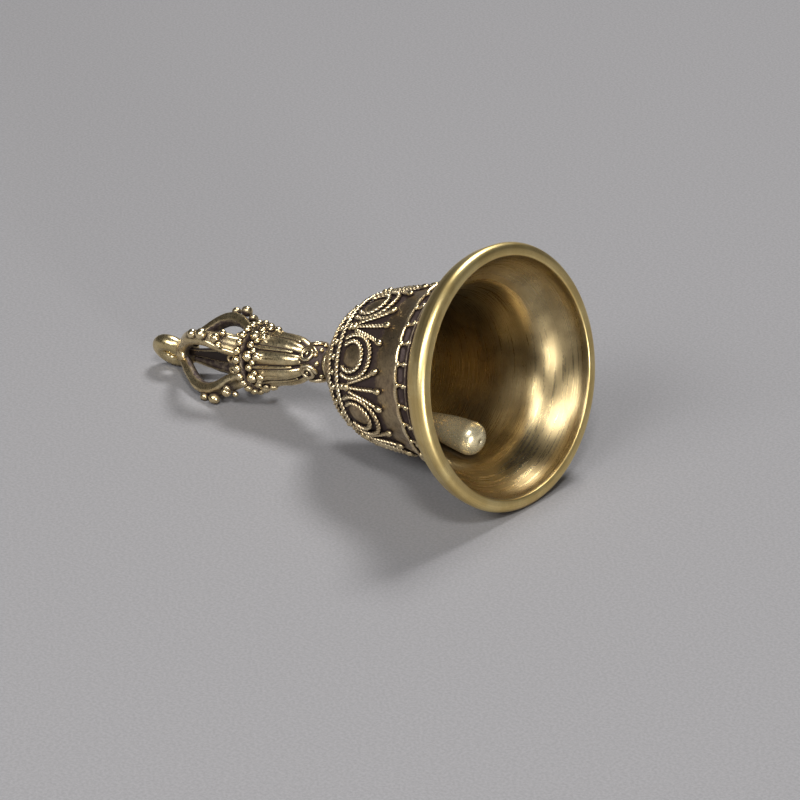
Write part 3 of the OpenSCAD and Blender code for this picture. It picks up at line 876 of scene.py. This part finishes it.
def prong(number):
    """A bowed prong of squarish section that splits into a two-ridged leaf at its root."""
    turn = PRONG_TURN + 360 * (number - 1) / PRONGS
    steps, sides = 60, 32
    lo, hi = PRONG_LINE[0][0], PRONG_LINE[-1][0]
    path = [around(turn, smooth_r(PRONG_LINE, z), z)
            for z in (lo + (hi - lo) * i / steps for i in range(steps + 1))]
    outs = [around(turn, 1, 0.001)] * len(path)
    rings, wear = [], []
    for i, (p, (a, b)) in enumerate(zip(path, frames(path, outs, False))):
        along = i / steps
        leaf = 1 - smoothstep(0.16, 0.4, along)
        wide = 0.85 - 0.25 * along + 0.3 * leaf
        thick = 0.56 + 0.1 * math.exp(-((along - 0.5) / 0.25) ** 2)
        ring, worn = [], []
        for k in range(sides):
            u = 2 * math.pi * k / sides
            c, s = math.cos(u), math.sin(u)
            x = math.copysign(abs(c) ** 0.7, c) * thick
            y = math.copysign(abs(s) ** 0.7, s) * wide
            split = math.exp(-(s / 0.32) ** 2) if c > 0 else 0
            lump = 0.035 * noise.noise(p * 1.1 + a * c + b * s)
            ring.append(p + a * (x - (0.06 + 0.4 * leaf) * split + lump) + b * (y + lump))
            worn.append(0.25 + 0.75 * smoothstep(-0.7, 0.3, c) * (1 - 0.8 * leaf * split))
        rings.append(ring)
        wear.append(worn)
    shape = Shape()
    shape.add_rings(rings, wear, False)
    node = f"vajra_prong_{number}"
    make(node + "_split", shape, (handle_metal,), "handle_brass", "bell", node)


def prong_beads():
    beads = Shape()
    for i in range(PRONGS):
        turn = PRONG_TURN + 360 * i / PRONGS
        out = around(turn, 1, 0)
        for r, z, size in PRONG_BEADS:
            bead(beads, around(turn, r, z), size, out, lump=0.03)
        for side in (-1, 1):
            bead(beads, around(turn + side * 10, 4.0, 35.6), 0.36, out)
    make("prong_beads_cast", beads, (granule_metal,), "granules", "bell", "prong_beads")


def hub_curls():
    """Two curled leaves on the hub between each two prongs."""
    curls = Shape()
    steps = 24
    for i in range(PRONGS):
        middle = PRONG_TURN + 360 * i / PRONGS + 180 / PRONGS
        for side in (-1, 1):
            path, outs, radii = [], [], []
            for k in range(steps + 1):
                a = math.radians(-90 + 360 * k / steps)
                reach = 0.62 - 0.4 * k / steps
                path.append(around(middle + side * (13 + 18 * reach * math.cos(a)), 2.55,
                                   34.9 + reach * math.sin(a)))
                outs.append(around(middle, 1, 0.4).normalized())
                radii.append(0.2 - 0.05 * k / steps)
            sweep(curls, path, outs, radii)
    make("hub_curls", curls, (handle_metal,), "handle_brass", "bell")


def centre_spike():
    """Four-sided, with its arrises in line with the prongs and painted bright as a highlight line.
    """
    core_r = 0.2
    profile = [(core_r, 0), (0.8, 0), (0.7, 0.3), (0.66, 0.6), (0.76, 1.1), (0.93, 1.9),
               (0.95, 2.5), (0.88, 3.5), (0.72, 4.7), (0.56, 5.8), (0.46, 7), (0.4, SPIKE_H),
               (core_r, SPIKE_H)]
    squareness = 1.15

    def off_arris(turn):
        return abs((turn - PRONG_TURN + 45) % 90 - 45)

    def form(i, r, z, turn):
        a = math.radians(off_arris(turn))
        f = (math.cos(a) ** squareness + math.sin(a) ** squareness) ** (-1 / squareness)
        return r * (f if r > core_r else 1), z

    shape = Shape()
    # These values paint a highlight line along each arris and leave the faces between near-black,
    # as patina and painted shade.
    lathe(shape, [(r, z + SPIKE_Z) for r, z in profile], 120, form, True,
          lambda i, r, z, turn: 1 - smoothstep(2, 9, off_arris(turn)))
    make("centre_spike_four_sided", shape, (spike_patina_shade_and_highlight_metal,), "dark_brass", "bell", "centre_spike")


def apex_cap():
    profile = [(CORE_R, 0), (1.05, 0), (1.3, 0.1), (1.42, 0.3), (1.45, 0.55), (1.38, 0.8),
               (1.2, 0.95), (1.15, 1.05), (0.95, 1.25), (0.6, 1.35), (CORE_R, 1.35)]
    shape = Shape()
    lathe(shape, [(r, z + APEX_Z) for r, z in profile], 96, closed=True)
    make("apex_cap_ringed", shape, (handle_metal,), "handle_brass", "bell", "apex_cap")


def suspension_loop():
    """A thick cast ring, smooth outside, with the wall of its eye drilled straight."""
    steps, sides = 112, 40
    mid = LOOP_R - LOOP_BAR_R
    hole = around(LOOP_TURN - 90, 1, 0)
    side = around(LOOP_TURN, 1, 0)
    rings, wear = [], []
    for i in range(steps):
        u = 2 * math.pi * i / steps
        out = side * math.cos(u) + Vector((0, 0, 1)) * math.sin(u)
        size = LOOP_BAR_R * (0.985 + 0.015 * noise.noise(out * 1.3 + hole))
        ring = []
        for k in range(sides):
            v = 2 * math.pi * k / sides
            reach = max(mid + size * math.cos(v), EYE_R)
            ring.append(Vector((0, 0, LOOP_Z)) + out * reach + hole * size * math.sin(v))
        rings.append(ring)
        wear.append([1.0] * sides)
    shape = Shape()
    shape.add_rings(rings, wear, True)
    make("suspension_loop_cast", shape, (loop_metal,), "loop_brass", "bell", "suspension_loop")


def clapper_tongue():
    """A club-shaped tongue with a rounded end, smoothed along its own axis."""
    round_start = TONGUE_TIP - TONGUE_ROUND
    body = [(smooth_r(TONGUE_LINE, s), s) for s in spaced(TONGUE_START, round_start, 0.2)]
    end = [(TONGUE_R - TONGUE_ROUND + TONGUE_ROUND * math.cos(math.radians(a)),
            round_start + TONGUE_ROUND * math.sin(math.radians(a))) for a in range(0, 91, 6)]
    profile = [(TONGUE_CORE_R, TONGUE_START)] + body + end + [(TONGUE_CORE_R, TONGUE_TIP)]

    def form(i, r, z, turn):
        worn = 0.01 * noise.noise(around(turn, r, z * 0.5) * 0.9)
        return r * (1 + worn) - 0.015, z

    shape = Shape()
    lathe(shape, profile, 96, form, True)
    roll = Matrix.Rotation(math.radians(CLAPPER_ROLL), 4, "Z")
    lean = Matrix.Rotation(math.radians(-(180 - TONGUE_LEAN)), 4, "Y")
    far = BELL.inverted() @ Vector(joints["tongue_swing"]["pos_m"])
    place = Matrix.Translation(far) @ roll @ lean
    shape.points = [place @ p for p in shape.points]
    make("clapper_tongue_dressed", shape, (tongue_metal,), "polished_brass", "clapper",
         "clapper_tongue")


def finish_fittings():
    """What holds the handle and the clapper keeps its CAD shape and takes a metal of its own."""
    for name in ("inner_washer", "handle_tang", "clapper_staple", "clapper_link",
                 "clapper_eye"):
        mesh = frame["nodes"][name].data
        mesh.materials.clear()
        mesh.materials.append(wire_metal)


bell_shell()
rope_rings()
crown_granules()
petal_wires()
fans()
ladder_band()
crown_collar()
neck_knob()
neck_scrolls()
lotus_calyx()
lotus_trim()
pearl_collar()
vajra_hub()
for prong_number in range(1, PRONGS + 1):
    prong(prong_number)
prong_beads()
hub_curls()
centre_spike()
apex_cap()
suspension_loop()
clapper_tongue()
finish_fittings()


# ---------------------------------------------------------------- stage, light and camera

# Degrees round from the front and above the floor, metres away, and degrees of view.
CAMERA_TURN = 40.0
CAMERA_RISE = 26.3
CAMERA_DISTANCE = 0.406
CAMERA_ANGLE = 11.07
AIM = Vector((mouth_centre.x - 13.98 * MM, 0, 6.0 * MM))


def floor():
    bpy.ops.mesh.primitive_plane_add(size=3)
    plane = bpy.context.object
    plane.name = "floor"
    n = Nodes("pale_floor")
    at = n.put("ShaderNodeTexCoord").outputs["Object"]
    grain = n.noise(at, 3600, 2, 0.6)
    shade = n.mix(n.ramp(grain, 0.3, 0.7), (0.2, 0.195, 0.199), (0.24, 0.234, 0.238))
    n.feed("Base Color", shade)
    n.shader.inputs["Roughness"].default_value = 0.85
    plane.data.materials.append(n.material)


def direction(turn, rise):
    """Towards a place that far round from the camera (to its right) and above the floor."""
    a = math.radians(CAMERA_TURN + turn)
    e = math.radians(rise)
    return Vector((math.sin(a) * math.cos(e), -math.cos(a) * math.cos(e), math.sin(e)))


def softbox(name, turn, rise, distance, width, height, watts):
    data = bpy.data.lights.new(name, "AREA")
    data.shape = "RECTANGLE"
    data.size, data.size_y = width, height
    data.energy = watts
    lamp = bpy.data.objects.new(name, data)
    lamp.location = AIM + direction(turn, rise) * distance
    lamp.rotation_euler = direction(turn, rise).to_track_quat("Z", "Y").to_euler()
    bpy.context.scene.collection.objects.link(lamp)


def lights():
    softbox("key_softbox", turn=158, rise=58, distance=0.65, width=0.18, height=0.16, watts=3.6)
    softbox("front_softbox", turn=2, rise=54, distance=0.6, width=0.1, height=0.1, watts=1.7)
    softbox("low_softbox", turn=25, rise=6, distance=0.6, width=0.1, height=0.06, watts=2.1)
    softbox("left_softbox", turn=-40, rise=37, distance=0.6, width=0.36, height=0.2, watts=2.6)
    world = bpy.data.worlds.new("studio")
    world.use_nodes = True
    background = world.node_tree.nodes["Background"]
    background.inputs["Color"].default_value = (0.62, 0.62, 0.66, 1)
    background.inputs["Strength"].default_value = 0.08
    bpy.context.scene.world = world
    bpy.context.scene.view_settings.view_transform = "Standard"


def camera():
    data = bpy.data.cameras.new("camera")
    data.angle = math.radians(CAMERA_ANGLE)
    data.clip_start = 0.01
    view = bpy.data.objects.new("camera", data)
    towards = direction(0, CAMERA_RISE)
    view.location = AIM + towards * CAMERA_DISTANCE
    view.rotation_euler = towards.to_track_quat("Z", "Y").to_euler()
    bpy.context.scene.collection.objects.link(view)
    bpy.context.scene.camera = view


floor()
lights()
camera()
